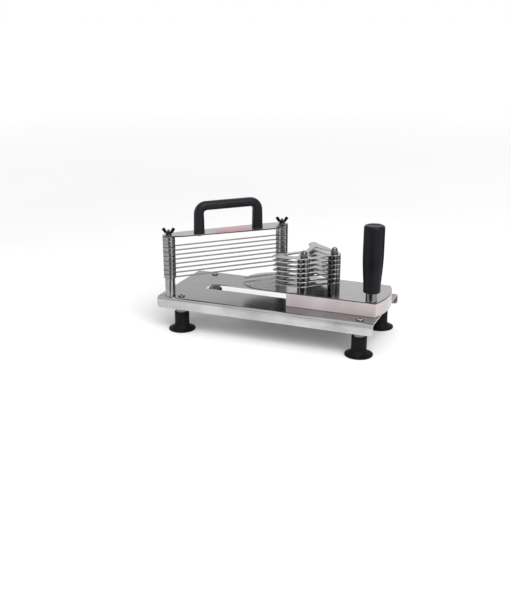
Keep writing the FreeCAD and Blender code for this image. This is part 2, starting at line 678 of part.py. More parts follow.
def make_pusher_plate(index):
    """One fingered plate; it passes through one gap between two blades."""
    node = "pusher_plate_%d" % index
    body = new_body(node)
    outline = sketch_on(body, "XY_Plane", node + "_outline")
    polygon(outline, outline_corners(PUSHER_OUTLINE))
    blank = pad(body, outline, "pusher_plate_thickness", node + "_blank")
    fillet(body, blank, "pusher_fillet", node + "_corners", is_upright)
    windows = sketch_on(body, "XY_Plane", node + "_windows")
    polygon(windows, outline_corners(PUSHER_FRONT_WINDOW))
    polygon(windows, outline_corners(PUSHER_REAR_WINDOW))
    pocket_through(body, windows, node + "_windows_cut")
    bosses = sketch_on(body, "XY_Plane", node + "_bosses")
    for x, y in BOLTS.values():
        circle(bosses, (x, y), "pusher_boss_radius")
    pad(body, bosses, "pusher_plate_thickness", node + "_eyes")
    holes = sketch_on(body, "XY_Plane", node + "_bolt_holes")
    for x, y in BOLTS.values():
        circle(holes, (x, y), "pusher_hole_radius")
    pocket_through(body, holes, node + "_drilling")
    height = "pusher_lowest + blade_pitch * %d" % (PUSHER_COUNT - index)
    place(body, ("0", "0", height))


def make_pusher_column(side, x, y):
    """Bolt, spacer rings, foot ring and cap nut of one pusher column."""
    rings = [ring("pusher_ring_%s_%d" % (side, index), "pusher_ring_radius",
                  "pusher_hole_radius", "pusher_gap",
                  (x, y, "pusher_lowest + pusher_plate_thickness + blade_pitch * %d" % index))
             for index in range(PUSHER_COUNT - 1)]
    part(group("pusher_rings_" + side, *rings), "pusher_spacers_" + side)
    foot = ring("pusher_foot_ring_" + side, "pusher_ring_radius", "pusher_hole_radius",
                "pusher_lowest - carriage_top", (x, y, "carriage_top"))
    part(foot, "pusher_foot_" + side)
    under = "carriage_top - carriage_plate_thickness"
    stem = cylinder("bolt_stem_" + side, "pusher_bolt_radius",
                    "pusher_top + cap_hex_height - (%s)" % under, (x, y, under))
    head = primitive("Prism", "bolt_head_" + side, (x, y, under + " - bolt_head_height"),
                     Circumradius="bolt_head_radius", Height="bolt_head_height")
    head.Polygon = 6
    part(fuse("bolt_" + side, stem, head), "pusher_bolt_" + side)
    flange = ring("cap_flange_" + side, "cap_flange_radius", "pusher_bolt_radius",
                  "cap_flange_thickness", (x, y, "pusher_top"))
    part(flange, "cap_washer_" + side)
    seat = "pusher_top + cap_flange_thickness"
    prism = primitive("Prism", "cap_prism_" + side, (x, y, seat),
                      Circumradius="cap_hex_radius", Height="cap_hex_height")
    prism.Polygon = 6
    dome = primitive("Sphere", "cap_dome_" + side, (x, y, seat + " + cap_hex_height"),
                     Radius="cap_dome_radius")
    bore = cylinder("cap_bore_" + side, "pusher_bolt_radius", "cap_hex_height",
                    (x, y, "pusher_top"))
    part(cut("cap_nut_cut_" + side, fuse("cap_nut_solid_" + side, prism, dome), bore),
         "cap_nut_" + side)


# ---------------------------------------------------------------- hand grip
def make_grip():
    """An upright plastic grip on a steel ferrule, held by a bolt from below."""
    body = new_body("hand_grip")
    section = sketch_on(body, "XZ_Plane", "grip_section")
    polygon(section, [
        ("0", "spindle_bore_top"), ("spindle_radius", "spindle_bore_top"),
        ("spindle_radius", "0"), ("grip_rim_radius", "0"),
        ("grip_foot_radius", "grip_rim_height"), ("grip_foot_radius", "grip_foot_height"),
        ("grip_waist_radius", "grip_taper_height"), ("grip_radius", "grip_shoulder"),
        ("grip_top_radius", "grip_height"), ("0", "grip_height")])
    revolve(body, section, "grip_turned")
    place(body, ("grip_x", "grip_y", "grip_bottom"))
    ferrule = ring("ferrule_ring", "ferrule_radius", "spindle_radius",
                   "grip_bottom - carriage_top", ("grip_x", "grip_y", "carriage_top"))
    part(ferrule, "grip_ferrule")
    under = "carriage_top - carriage_plate_thickness"
    stem = cylinder("spindle_stem", "spindle_radius",
                    "grip_bottom + grip_height - spindle_top_gap - (%s)" % under,
                    ("grip_x", "grip_y", under))
    head = primitive("Prism", "spindle_head", ("grip_x", "grip_y", under + " - bolt_head_height"),
                     Circumradius="bolt_head_radius", Height="bolt_head_height")
    head.Polygon = 6
    part(fuse("spindle", stem, head), "grip_spindle")


# ---------------------------------------------------------------- assembly
def build():
    """Make every sub-part of the slicer."""
    make_base_plate()
    for corner, (x, y) in FEET.items():
        make_foot(corner, x, y)
    make_foot_hardware()
    for end, (x, y) in POSTS.items():
        make_post(end, x, y)
        make_wing_nut(end, x, y)
    for index in range(1, BLADE_COUNT + 1):
        make_blade(index)
    make_rod_hardware()
    make_top_plate()
    make_label()
    make_bow_handle()
    make_handle_screws()
    make_slide_block()
    make_carriage_plate()
    make_guide()
    for index in range(1, PUSHER_COUNT + 1):
        make_pusher_plate(index)
    for side, (x, y) in BOLTS.items():
        make_pusher_column(side, x, y)
    make_grip()
    doc.recompute()


def check():
    """Stop if any object failed or any sub-part has no sound shape."""
    for obj in doc.Objects:
        if "Invalid" in obj.State or "Error" in obj.State:
            raise RuntimeError("%s did not recompute: %s" % (obj.Label, obj.State))
    for obj in parts:
        if obj.Shape.isNull() or not obj.Shape.isValid() or not obj.Shape.Solids:
            raise RuntimeError("%s has no sound shape" % obj.Label)


def export():
    """Write one STEP file for each sub-part."""
    os.makedirs("parts", exist_ok=True)
    for obj in parts:
        obj.Shape.exportStep(os.path.join("parts", obj.Label + ".step"))
        print(obj.Label, len(obj.Shape.Solids), round(obj.Shape.Volume, 1))
    print(len(parts), "sub-parts")


build()
check()
export()
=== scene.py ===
"""Looks of the manual tomato slicer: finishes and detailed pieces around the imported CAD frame.

Units are metres, in the frame of the CAD model: +Z up, X along the base, the grip at +X, -Y.
"""

import json
import math

import bmesh
import bpy
from mathutils import Matrix, Vector


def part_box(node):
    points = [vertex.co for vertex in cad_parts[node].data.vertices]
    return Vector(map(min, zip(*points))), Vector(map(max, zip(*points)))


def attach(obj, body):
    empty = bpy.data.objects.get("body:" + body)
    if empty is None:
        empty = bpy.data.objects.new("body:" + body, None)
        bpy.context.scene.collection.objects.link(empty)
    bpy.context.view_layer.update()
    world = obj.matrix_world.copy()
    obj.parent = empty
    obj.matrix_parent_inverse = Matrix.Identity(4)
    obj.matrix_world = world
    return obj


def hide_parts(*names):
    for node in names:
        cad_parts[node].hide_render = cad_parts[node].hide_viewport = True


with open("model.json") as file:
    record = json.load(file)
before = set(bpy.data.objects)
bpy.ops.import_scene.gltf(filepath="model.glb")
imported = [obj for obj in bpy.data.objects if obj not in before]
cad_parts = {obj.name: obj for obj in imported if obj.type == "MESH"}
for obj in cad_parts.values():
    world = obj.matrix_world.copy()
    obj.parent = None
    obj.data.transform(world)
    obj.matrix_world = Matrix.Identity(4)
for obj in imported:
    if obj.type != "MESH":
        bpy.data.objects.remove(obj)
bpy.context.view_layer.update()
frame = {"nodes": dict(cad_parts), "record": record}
MM = 0.001
SAME_POINT = 1e-7
SAME_CAD_POINT = 1e-6
DIAGONAL_GRAIN = math.radians(-45)
WING_TURN = math.radians(22)
NODE_SLOTS = {row["node"]: row["material_slot"] for row in frame["record"]["subparts"]}
NODE_BODIES = {node: body for body, nodes in frame["record"]["behaviour"]["bodies"].items()
               for node in nodes}


# ---------------------------------------------------------------- shader building
class Shader:
    """A material under construction: its nodes, its links and one principled shader."""

    def __init__(self, name, base, metallic, roughness, **sockets):
        self.material = bpy.data.materials.new(name)
        self.material.use_nodes = True
        self.tree = self.material.node_tree
        self.surface = self.tree.nodes["Principled BSDF"]
        self.set("Base Color", (*base, 1))
        self.set("Metallic", metallic)
        self.set("Roughness", roughness)
        for socket, value in sockets.items():
            self.set(socket.replace("_", " "), value)
        self.place = self.node("ShaderNodeTexCoord").outputs["Object"]
        self.bumps = None

    def set(self, socket, value):
        self.surface.inputs[socket].default_value = value

    def node(self, kind, **properties):
        made = self.tree.nodes.new(kind)
        for name, value in properties.items():
            setattr(made, name, value)
        return made

    def link(self, source, target):
        self.tree.links.new(source, target)

    def stretched(self, scale, turn=0.0):
        """Object coordinates with their own scale along each axis, after a turn about Z."""
        turned = self.node("ShaderNodeMapping")
        turned.inputs["Rotation"].default_value = (0, 0, turn)
        self.link(self.place, turned.inputs["Vector"])
        scaled = self.node("ShaderNodeMapping")
        scaled.inputs["Scale"].default_value = scale
        self.link(turned.outputs["Vector"], scaled.inputs["Vector"])
        return scaled.outputs["Vector"]

    def noise(self, vector, scale, detail=3.0, roughness=0.55):
        made = self.node("ShaderNodeTexNoise")
        made.inputs["Scale"].default_value = scale
        made.inputs["Detail"].default_value = detail
        made.inputs["Roughness"].default_value = roughness
        self.link(vector, made.inputs["Vector"])
        return made.outputs["Fac"]

    def spread(self, value, low, high, start=0.3, stop=0.7):
        """Map a noise value from its usual spread to a range."""
        made = self.node("ShaderNodeMapRange")
        made.inputs["From Min"].default_value = start
        made.inputs["From Max"].default_value = stop
        made.inputs["To Min"].default_value = low
        made.inputs["To Max"].default_value = high
        self.link(value, made.inputs["Value"])
        return made.outputs["Result"]

    def ramp(self, value, dark, light, start=0.35, stop=0.65):
        made = self.node("ShaderNodeValToRGB")
        made.color_ramp.elements[0].position = start
        made.color_ramp.elements[0].color = (*dark, 1)
        made.color_ramp.elements[1].position = stop
        made.color_ramp.elements[1].color = (*light, 1)
        self.link(value, made.inputs["Fac"])
        return made.outputs["Color"]

    def mix(self, factor, first, second):
        made = self.node("ShaderNodeMix", data_type="RGBA")
        self.link(factor, made.inputs["Factor"])
        self.link(first, made.inputs["A"])
        self.link(second, made.inputs["B"])
        return made.outputs["Result"]

    def colour(self, source):
        self.link(source, self.surface.inputs["Base Color"])

    def roughness(self, source):
        self.link(source, self.surface.inputs["Roughness"])

    def bump(self, height, strength, distance):
        """Add one layer of relief on top of the earlier layers."""
        made = self.node("ShaderNodeBump")
        made.inputs["Strength"].default_value = strength
        made.inputs["Distance"].default_value = distance
        self.link(height, made.inputs["Height"])
        if self.bumps:
            self.link(self.bumps, made.inputs["Normal"])
        self.bumps = made.outputs["Normal"]
        self.link(self.bumps, self.surface.inputs["Normal"])

    def paint_light_by_facing(self, upper, side, under):
        """Painted light and shade by facing: up, upright and downward faces each get a colour."""
        normal = self.node("ShaderNodeSeparateXYZ")
        self.link(self.node("ShaderNodeNewGeometry").outputs["Normal"], normal.inputs["Vector"])
        height = normal.outputs["Z"]
        lower = self.mix(self.spread(height, 1, 0, -0.5, -0.15), side, under)
        return self.mix(self.spread(height, 0, 1, 0.5, 0.8), lower, upper)

    def worn_edges(self, plain, worn, amount):
        """Mix in a second colour where the surface is sharply convex."""
        shape = self.node("ShaderNodeNewGeometry")
        edge = self.spread(shape.outputs["Pointiness"], 0, amount, 0.52, 0.6)
        return self.mix(edge, plain, worn)


def shade(value):
    """A slightly warm grey."""
    return (value, value * 0.985, value * 0.985)


def brushed_steel(name, value, roughness, turn=0.0, grain=(18, 900, 900), relief=0.12,
                  edge=None):
    """Sheet: straight brushed grain, smears, fine scratches; edge paints light and shade on sides.
    """
    made = Shader(name, shade(value), 1.0, roughness)
    grain_lines = made.noise(made.stretched(grain, turn), 1.0, 2.0)
    long_lines = made.noise(made.stretched(tuple(0.22 * axis for axis in grain), turn), 1.0, 2.0)
    smears = made.noise(made.place, 14.0, 4.0)
    streaks = made.ramp(grain_lines, shade(value * 0.9), shade(value * 1.06))
    clouded = made.ramp(smears, shade(value * 0.93), shade(value * 1.04))
    sheet = made.mix(smears, streaks, clouded)
    # Painted light and shade: upright faces and undersides take the edge tone.
    if edge:
        side = made.ramp(smears, shade(edge * 0.8), shade(edge * 1.2))
        sheet = made.paint_light_by_facing(sheet, side, side)
    made.colour(sheet)
    made.roughness(made.spread(long_lines, roughness * 0.8, roughness * 1.25))
    made.bump(grain_lines, relief, 0.00006)
    return made.material


def polished_steel(name, value, roughness, edge=0.07, below=0.04):
    """Bright sheet that mirrors what stands on it; its cut edge and underside get painted shade.
    """
    made = Shader(name, shade(value), 1.0, roughness)
    rubbing = made.noise(made.stretched((40, 700, 700), math.radians(8)), 1.0, 3.0)
    smears = made.noise(made.place, 22.0, 5.0)
    upper = made.ramp(smears, shade(value * 0.93), shade(value * 1.03))
    # Painted shade: the cut edge and underside get these dark tones.
    side = made.ramp(smears, shade(edge * 0.8), shade(edge * 1.2))
    under = made.ramp(smears, shade(below * 0.8), shade(below * 1.2))
    made.colour(made.paint_light_by_facing(upper, side, under))
    made.roughness(made.spread(smears, roughness * 0.75, roughness * 1.6))
    made.bump(rubbing, 0.035, 0.00004)
    return made.material


def turned_steel(name, value, roughness, groove=0.05):
    """Lathe parts: fine rings round the upright axis; painted shade on faces looking up and down.
    """
    made = Shader(name, shade(value), 1.0, roughness)
    rings = made.noise(made.stretched((30, 30, 5200)), 1.0, 2.0)
    patches = made.noise(made.place, 90.0, 3.0)
    plain = made.ramp(patches, shade(value * 0.82), shade(value * 1.08))
    # Painted shade on faces looking up and down, where the rings meet; groove sets the tone.
    painted_gap_shade = made.ramp(patches, shade(groove * 0.6), shade(groove * 1.4))
    made.colour(made.paint_light_by_facing(painted_gap_shade, plain, painted_gap_shade))
    made.roughness(made.spread(rings, roughness * 0.75, roughness * 1.3))
    made.bump(rings, 0.14, 0.00005)
    return made.material


def tumbled_steel(name, value, roughness, edge=0.46, below=0.03):
    """Laser-cut plate after tumbling: mottled faces; edges and undersides get painted light and
    shade.
    """
    made = Shader(name, shade(value), 1.0, roughness)
    mottle = made.noise(made.place, 420.0, 3.0)
    smears = made.noise(made.place, 35.0, 3.0)
    upper = made.ramp(smears, shade(value * 0.85), shade(value * 1.05))
    # Painted light and shade: edges get their own tone, undersides a painted shade.
    side = made.ramp(mottle, shade(edge * 0.85), shade(edge * 1.1))
    under = made.ramp(smears, shade(below * 0.8), shade(below * 1.2))
    made.colour(made.paint_light_by_facing(upper, side, under))
    made.roughness(made.spread(mottle, roughness * 0.8, roughness * 1.3))
    made.bump(mottle, 0.06, 0.00008)
    return made.material


def blade_steel(name):
    """Thin strip, ground lengthwise."""
    return brushed_steel(name, 0.2, 0.2, DIAGONAL_GRAIN, grain=(25, 2600, 400), relief=0.1)


def bright_hardware(name, value, roughness, side, below=0.04):
    """Nuts, bolts and screws: painted light on the crowns, painted shade on the sides, handling
    marks.
    """
    made = Shader(name, shade(value), 1.0, roughness)
    marks = made.noise(made.place, 260.0, 4.0)
    # Painted light and shade: bright crowns, shaded flanks, darkest below.
    upper = made.ramp(marks, shade(value * 0.78), shade(value * 1.1))
    painted_flank_shade = made.ramp(marks, shade(side * 0.7), shade(side * 1.2))
    under = made.ramp(marks, shade(below * 0.8), shade(below * 1.2))
    made.colour(made.paint_light_by_facing(upper, painted_flank_shade, under))
    made.roughness(made.spread(marks, roughness * 0.7, roughness * 1.6))
    made.bump(marks, 0.05, 0.00006)
    return made.material


def brass(name):
    made = Shader(name, (0.72, 0.55, 0.27), 1.0, 0.3)
    marks = made.noise(made.place, 200.0, 3.0)
    made.colour(made.ramp(marks, (0.6, 0.44, 0.2), (0.78, 0.6, 0.3)))
    return made.material


def rubber(name):
    """Moulded rubber: matt, dusty in the hollows, lighter where it is rubbed."""
    made = Shader(name, (0.012, 0.012, 0.013), 0.0, 0.55, Specular_IOR_Level=0.07)
    grain = made.noise(made.place, 900.0, 3.0)
    dust = made.noise(made.place, 60.0, 5.0)
    plain = made.ramp(dust, (0.004, 0.004, 0.0045), (0.010, 0.010, 0.011))
    rubbed = made.ramp(dust, (0.016, 0.016, 0.017), (0.026, 0.026, 0.028))
    made.colour(made.worn_edges(plain, rubbed, 0.5))
    made.roughness(made.spread(dust, 0.46, 0.66))
    made.bump(grain, 0.12, 0.00012)
    return made.material


def black_plastic(name, gloss=0.2):
    """Fine spark-textured moulding with a satin sheen."""
    made = Shader(name, (0.012, 0.012, 0.015), 0.0, 0.34, Specular_IOR_Level=gloss)
    texture = made.noise(made.place, 1500.0, 2.0)
    handling = made.noise(made.place, 28.0, 4.0)
    plain = made.ramp(handling, (0.003, 0.0033, 0.0052), (0.006, 0.0065, 0.0095))
    rubbed = made.ramp(handling, (0.018, 0.019, 0.022), (0.026, 0.027, 0.031))
    made.colour(made.worn_edges(plain, rubbed, 0.4))
    made.roughness(made.spread(handling, 0.28, 0.4))
    made.bump(texture, 0.16, 0.00010)
    return made.material


def white_plastic(name):
    """Milled white plastic: slightly see-through, with cutter marks and faint stains."""
    made = Shader(name, (0.48, 0.42, 0.43), 0.0, 0.34, Subsurface_Weight=0.25,
                  Subsurface_Radius=(0.006, 0.004, 0.004), Subsurface_Scale=0.6)
    cutter = made.noise(made.stretched((60, 60, 900)), 1.0, 2.0)
    stains = made.noise(made.place, 18.0, 4.0)
    made.colour(made.ramp(stains, (0.43, 0.375, 0.385), (0.52, 0.46, 0.47)))
    made.roughness(made.spread(cutter, 0.28, 0.44))
    made.bump(cutter, 0.08, 0.00010)
    return made.material


def coated_metal(name):
    """Black coated wing nuts, worn on their edges."""
    made = Shader(name, (0.004, 0.004, 0.004), 0.0, 0.3, Specular_IOR_Level=0.08)
    chips = made.noise(made.place, 700.0, 4.0)
    plain = made.ramp(chips, (0.002, 0.002, 0.002), (0.006, 0.006, 0.006))
    worn = made.ramp(chips, (0.012, 0.012, 0.012), (0.03, 0.03, 0.03))
    made.colour(made.worn_edges(plain, worn, 0.35))
    made.roughness(made.spread(chips, 0.25, 0.4))
    made.bump(chips, 0.1, 0.00012)
    return made.material


def collar_grey(name):
    made = Shader(name, (0.22, 0.22, 0.225), 1.0, 0.42)
    rings = made.noise(made.stretched((40, 40, 3200)), 1.0, 2.0)
    made.colour(made.ramp(rings, (0.17, 0.17, 0.175), (0.27, 0.27, 0.275)))
    made.bump(rings, 0.1, 0.00006)
    return made.material


def label_film(name):
    """A plain coloured strip with a satin print and a little fading."""
    made = Shader(name, (0.55, 0.11, 0.17), 0.0, 0.36)
    fading = made.noise(made.place, 60.0, 4.0)
    made.colour(made.ramp(fading, (0.62, 0.14, 0.21), (0.74, 0.22, 0.29)))
    made.roughness(made.spread(fading, 0.3, 0.45))
    return made.material


# The edge, side, below and groove tones paint light and shade by facing.
FINISHES = {
    # Painted light: edge 0.5 makes the flange and cut sides lighter than the top.
    "base_steel": brushed_steel("satin_sheet", 0.38, 0.22, edge=0.5),
    "polished_steel": polished_steel("polished_sheet", 0.52, 0.13),
    "turned_steel": turned_steel("turned_steel", 0.28, 0.16, groove=0.12),
    "blade_steel": blade_steel("blade_steel"),
    "pusher_steel": tumbled_steel("tumbled_plate", 0.52, 0.18),
    "hardware_steel": bright_hardware("bright_hardware", 0.3, 0.1, side=0.12),
    "insert_brass": brass("insert_brass"),
    "foot_rubber": rubber("foot_rubber"),
    "collar_grey": collar_grey("collar_grey"),
    "black_plastic": black_plastic("black_plastic"),
    "white_plastic": white_plastic("white_plastic"),
    "black_metal": coated_metal("black_coating"),
    "label_pink": label_film("label_film"),
}
# Painted shade: edge 0.1 darkens the top plate's cut edges.
TOP_SHEET = brushed_steel("top_plate_sheet", 0.5, 0.25, DIAGONAL_GRAIN, edge=0.1)
TUBE_STEEL = turned_steel("tube_steel", 0.33, 0.12)
FERRULE_STEEL = turned_steel("ferrule_steel", 0.2, 0.12)
PUSHER_RING_STEEL = turned_steel("pusher_ring_steel", 0.12, 0.1)
GRIP_PLASTIC = black_plastic("grip_plastic", gloss=0.13)
SCREW_STEEL = bright_hardware("screw_steel", 0.42, 0.2, side=0.1)


# ---------------------------------------------------------------- mesh building
def finish_piece(name, mesh_maker, nodes, smooth_angle=35, finish=None):
    """Turn a bmesh into a piece that replaces CAD nodes, on their body and in their slot."""
    mesh = bpy.data.meshes.new(name)
    bmesh.ops.recalc_face_normals(mesh_maker, faces=mesh_maker.faces)
    mesh_maker.to_mesh(mesh)
    mesh_maker.free()
    mesh.shade_smooth()
    mesh.set_sharp_from_angle(angle=math.radians(smooth_angle))
    piece = bpy.data.objects.new(name, mesh)
    bpy.context.scene.collection.objects.link(piece)
    flat_faces = piece.modifiers.new("flat_faces", "WEIGHTED_NORMAL")
    flat_faces.keep_sharp = True
    slot = NODE_SLOTS[nodes[0]]
    mesh.materials.append(finish or FINISHES[slot])
    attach(piece, NODE_BODIES[nodes[0]])
    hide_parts(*nodes)


def machined(node, edge, finish=None, segments=3):
    """The CAD piece with its sharp edges rounded, as after deburring."""
    flat = math.radians(0.6)
    sharp_turn = math.radians(28)
    shape = bmesh.new()
    shape.from_mesh(frame["nodes"][node].data)
    bmesh.ops.remove_doubles(shape, verts=shape.verts, dist=SAME_CAD_POINT)
    bmesh.ops.dissolve_limit(shape, angle_limit=flat, verts=shape.verts, edges=shape.edges)
    sharp = [line for line in shape.edges
             if line.is_manifold and line.calc_face_angle(0) > sharp_turn]
    bmesh.ops.bevel(shape, geom=sharp, offset=edge, segments=segments, profile=0.5,
                    affect="EDGES", clamp_overlap=True)
    finish_piece(node + "_finished", shape, [node], finish=finish)


def lathe(shape, profile, centre, steps=64):
    """Turn a closed profile of (radius, height) pairs about an upright axis."""
    loops = []
    for radius, height in profile:
        if radius < SAME_POINT:
            loops.append([shape.verts.new(centre + Vector((0, 0, height)))])
            continue
        loops.append([shape.verts.new(centre + Vector((
            radius * math.cos(math.tau * step / steps),
            radius * math.sin(math.tau * step / steps), height))) for step in range(steps)])
    for lower, upper in zip(loops, loops[1:]):
        join_loops(shape, lower, upper)
    return loops


def join_loops(shape, lower, upper):
    """Faces between two rings of points, either of which may be one point."""
    count = max(len(lower), len(upper))
    if count == 1:
        return
    for step in range(count):
        after = (step + 1) % count
        corners = []
        for ring, order in ((lower, (step, after)), (upper, (after, step))):
            picked = [ring[index % len(ring)] for index in order]
            corners += picked if len(ring) > 1 else picked[:1]
        shape.faces.new(corners)


def arc(centre, radius, start, stop, steps):
    """Points of an arc as (radius, height) pairs; angles in degrees from outwards."""
    return [(centre[0] + radius * math.cos(math.radians(start + (stop - start) * step / steps)),
             centre[1] + radius * math.sin(math.radians(start + (stop - start) * step / steps)))
            for step in range(steps + 1)]


def box_middle(node):
    """The lowest corner, the highest corner and the middle of a CAD node's box."""
    low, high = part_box(node)
    return low, high, (low + high) / 2


# ---------------------------------------------------------------- rings, tubes and washers
def turned_rings(node, bore, edge, bands=1, groove=0.0, finish=None):
    """Replace a stack of rings by turned ones; a tall ring can carry shallow grooves."""
    low, high, middle = box_middle(node)
    outer = (high.x - low.x) / 2
    shape = bmesh.new()
    centre = Vector((middle.x, middle.y, 0))
    for bottom, top in solid_spans(node):
        step = (top - bottom) / bands
        section = [(bore, bottom)]
        for band in range(bands):
            foot = bottom + band * step
            section += arc((outer - edge, foot + edge + groove * bool(band)), edge, -90, 0, 4)
            section += arc((outer - edge, foot + step - edge - groove * (band < bands - 1)),
                           edge, 0, 90, 4)
        section += [(bore, top), (bore, bottom)]
        lathe(shape, section, centre)
    bmesh.ops.remove_doubles(shape, verts=shape.verts, dist=SAME_POINT)
    finish_piece(node + "_turned", shape, [node], finish=finish)


def solid_spans(node):
    """The bottom and top of each separate solid of a node, upwards."""
    shape = bmesh.new()
    shape.from_mesh(frame["nodes"][node].data)
    bmesh.ops.remove_doubles(shape, verts=shape.verts, dist=SAME_CAD_POINT)
    heights = sorted({round(point.co.z, 6) for point in shape.verts})
    shape.free()
    return list(zip(heights[::2], heights[1::2]))


POST_ENDS = ("front", "rear")
ROD_BORE = 3.2 * MM
PUSHER_BORE = 4.2 * MM
CAP_WASHER_BORE = 4.0 * MM
SPINDLE_BORE = 5.0 * MM


def make_columns():
    """Tubes, spacer rings and washers of the blade posts and of the pusher."""
    for end in POST_ENDS:
        turned_rings("post_tube_" + end, ROD_BORE, edge=0.5 * MM, finish=TUBE_STEEL)
        turned_rings("blade_spacers_" + end, ROD_BORE, edge=0.5 * MM)
        turned_rings("top_spacer_" + end, ROD_BORE, edge=0.5 * MM, bands=3, groove=0.15 * MM)
        turned_rings("pusher_spacers_" + end, PUSHER_BORE, edge=1.0 * MM, finish=PUSHER_RING_STEEL)
        turned_rings("pusher_foot_" + end, PUSHER_BORE, edge=0.6 * MM, finish=PUSHER_RING_STEEL)
        turned_rings("cap_washer_" + end, CAP_WASHER_BORE, edge=0.35 * MM)
    turned_rings("grip_ferrule", SPINDLE_BORE, edge=0.6 * MM, finish=FERRULE_STEEL)


# ---------------------------------------------------------------- turned and moulded parts
def make_grip():
    """The plastic grip: a barrel that narrows to a rimmed foot, with a dished top."""
    low, high, middle = box_middle("hand_grip")
    radius = (high.x - low.x) / 2
    height = high.z - low.z
    rim = 14.0 * MM
    foot = 15.7 * MM
    foot_edge = 1.2 * MM
    neck = 10 * MM
    stations = 14
    shoulder = radius * 0.992
    crown_edge = 4.2 * MM
    sides = [(rim, 0.0)] + arc((foot - foot_edge, foot_edge), foot_edge, -70, 0, 5)
    sides += [(foot, 7 * MM), (foot + 0.1 * MM, neck)]
    for step in range(1, stations + 1):
        share = step / stations
        swell = math.sin(math.pi / 2 * share) ** 1.25
        sides.append((foot + (radius - foot) * swell, neck + share * 62 * MM))
    sides += [(radius, 0.72 * height), (shoulder, height - 9 * MM)]
    sides += arc((shoulder - crown_edge, height - crown_edge), crown_edge, 0, 78, 8)
    sides += [(radius - 6.6 * MM, height - 0.06 * MM), (radius - 8.4 * MM, height - 0.5 * MM),
              (radius - 12 * MM, height - 0.8 * MM), (0.0, height - 0.9 * MM)]
    shape = bmesh.new()
    lathe(shape, [(SPINDLE_BORE, 0.0)] + sides, Vector((middle.x, middle.y, low.z)), 96)
    finish_piece("hand_grip_moulded", shape, ["hand_grip"], finish=GRIP_PLASTIC)


def make_feet():
    """Suction feet: a stem with a moulded collar cup, flaring into a thin-lipped sucker."""
    stem = 14.2 * MM
    stem_edge = 0.8 * MM
    lip = 0.7 * MM
    flare_steps = 12
    socket_depth = 4 * MM
    for side in ("front_left", "front_right", "rear_left", "rear_right"):
        node = "suction_foot_" + side
        low, high, middle = box_middle(node)
        cup = (high.x - low.x) / 2
        height = high.z - low.z
        flare = [(cup - (cup - stem) * math.sin(math.pi / 2 * step / flare_steps) ** 1.15,
                  2.6 * MM
                  + (1 - math.cos(math.pi / 2 * step / flare_steps) ** 1.35) * 9.6 * MM)
                 for step in range(flare_steps + 1)]
        section = [(0.0, 4.2 * MM), (12 * MM, 3.2 * MM), (cup - 4 * MM, 0.7 * MM),
                   (cup - 1.6 * MM, 0.0)]
        section += arc((cup - lip, 0.9 * MM), lip, -90, 60, 5) + flare
        section += [(stem, 22 * MM), (stem, height - 3.4 * MM)]
        section += arc((stem - stem_edge, height - stem_edge), stem_edge, 0, 90, 4)
        section += [(11.8 * MM, height), (11.5 * MM, height - socket_depth),
                    (4.2 * MM, height - socket_depth)]
        shape = bmesh.new()
        lathe(shape, section, Vector((middle.x, middle.y, low.z)), 80)
        finish_piece(node + "_moulded", shape, [node])


def hexagon(shape, centre, radius, bottom, top):
    """Two rings of six corners joined by their sides."""
    rings = []
    for height in (bottom, top):
        rings.append([shape.verts.new(centre + Vector((
            radius * math.cos(math.tau * step / 6),
            radius * math.sin(math.tau * step / 6), height))) for step in range(6)])
    join_loops(shape, *rings)
    return rings


def make_foot_screws():
    """Button-head screws with a hexagon socket."""
    low, high, _ = box_middle("foot_screws")
    head = 7.0 * MM
    shank = 2.9 * MM
    seat = high.z - 3.6 * MM
    opening = 2.7 * MM
    socket_depth = 1.9 * MM
    steps = 48
    shape = bmesh.new()
    for x in (low.x + head, high.x - head):
        for y in (low.y + head, high.y - head):
            centre = Vector((x, y, 0))
            dome = [(head * math.cos(math.radians(angle)) ** 0.8,
                     seat + 0.5 * MM + 3.05 * MM * math.sin(math.radians(angle)))
                    for angle in range(0, 60, 8)]
            section = [(shank, low.z), (shank, seat), (head - 0.5 * MM, seat),
                       (head, seat + 0.25 * MM)] + dome
            loops = lathe(shape, section, centre, steps)
            shape.faces.new(reversed(loops[0]))
            rim = loops[-1]
            level = rim[0].co.z
            collar = [shape.verts.new(centre + Vector((
                opening * math.cos(math.tau * step / steps),
                opening * math.sin(math.tau * step / steps), level))) for step in range(steps)]
            join_loops(shape, rim, collar)
            socket = [shape.verts.new(Vector((
                x + (point.co.x - x) * hexagon_share(step, steps),
                y + (point.co.y - y) * hexagon_share(step, steps), level)))
                for step, point in enumerate(collar)]
            join_loops(shape, collar, socket)
            floor = [shape.verts.new(point.co - Vector((0, 0, socket_depth)))
                     for point in socket]
            join_loops(shape, socket, floor)
            shape.faces.new(floor)
    bmesh.ops.remove_doubles(shape, verts=shape.verts, dist=SAME_POINT)
    finish_piece("foot_screws_socketed", shape, ["foot_screws"], finish=SCREW_STEEL)


def hexagon_share(step, steps):
    """How far a hexagon reaches, as a share of its corner radius, in one direction."""
    angle = (math.tau * step / steps) % (math.pi / 3) - math.pi / 6
    return 0.97 * math.cos(math.pi / 6) / math.cos(angle)


